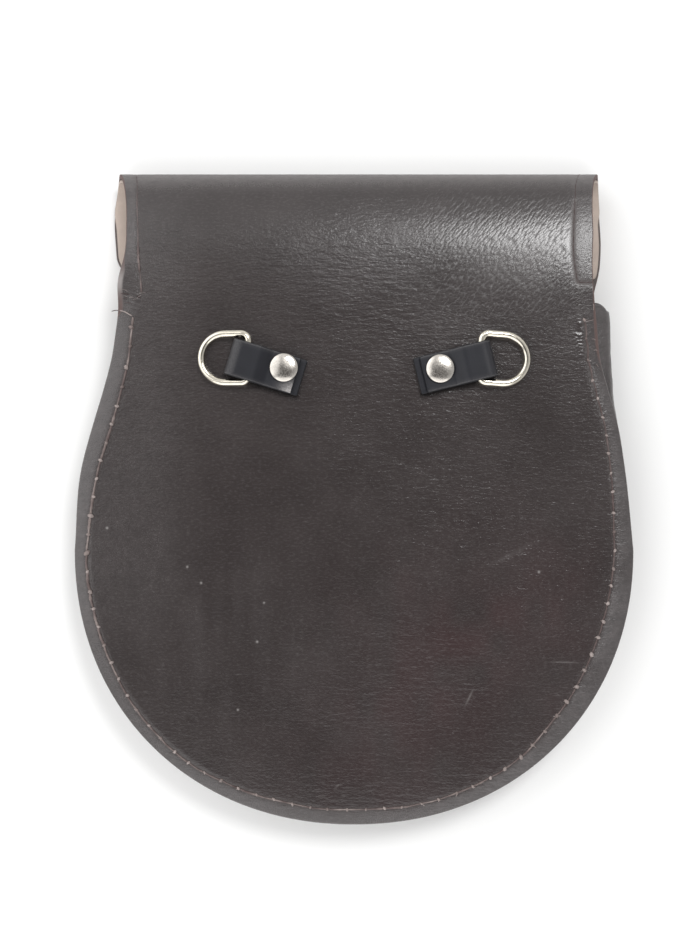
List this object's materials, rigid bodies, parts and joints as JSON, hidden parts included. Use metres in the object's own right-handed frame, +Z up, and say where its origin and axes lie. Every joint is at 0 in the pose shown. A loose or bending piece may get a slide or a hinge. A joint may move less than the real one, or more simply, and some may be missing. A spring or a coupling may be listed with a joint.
{
  "type": "sporran pouch",
  "caption": "Plain leather sporran pouch lying on its front, with a folded-over flap, a sewn gusset and D-rings on riveted strap tabs across the back.",
  "frame": {"origin": "on the surface it lies on, under the middle of its box", "axes": "+Z up, out of the back panel; +Y towards the fold of the flap; +X to the right as the back is looked at with the fold at the top"},
  "size_m": [0.1796, 0.2094, 0.0256],
  "materials": {
    "leather": "dark brown fine-grained leather with a soft sheen",
    "lining": "pale undyed thin leather, matt",
    "strap": "smooth blue-black strap leather",
    "ring_metal": "bright nickel-plated wire",
    "cap_metal": "nickel-plated caps, lightly worn"
  },
  "bodies": {
    "root": {"back_and_flap": "leather", "flap_lining": "lining", "gusset": "leather", "gusset_seam_upper": "leather", "gusset_seam_lower": "leather", "front_panel": "leather", "tab_left": "strap", "tab_right": "strap", "d_ring_left": "ring_metal", "d_ring_right": "ring_metal", "rivet_left": "cap_metal", "rivet_right": "cap_metal", "closing_stud": "cap_metal"}
  },
  "joints": []
}
